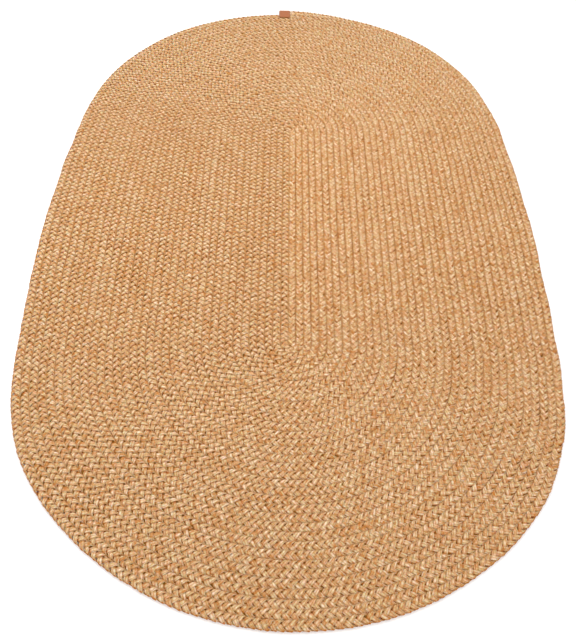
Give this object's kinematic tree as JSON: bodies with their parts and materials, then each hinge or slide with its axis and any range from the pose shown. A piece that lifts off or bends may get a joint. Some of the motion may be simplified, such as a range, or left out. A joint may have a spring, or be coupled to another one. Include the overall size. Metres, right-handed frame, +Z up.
{
  "type": "braided rug",
  "caption": "Flat oval rug of one plait coiled in a spiral and sewn edge to edge, its outer end held under a small leather tab at the rim.",
  "frame": {"origin": "on the floor, under the middle of the rug's outline", "axes": "+Z up out of the rug's face, +Y along its length towards the tab, +X across it to the right as seen from the near end"},
  "size_m": [1.216, 1.9495, 0.0108],
  "materials": {
    "braided_yarn": "matte heathered straw, cream and orange-brown yarn in a flat plait",
    "tan_leather": "smooth semi-matt tan leather"
  },
  "bodies": {
    "root": {"braided_rug": "braided_yarn", "leather_tab": "tan_leather"}
  },
  "joints": []
}
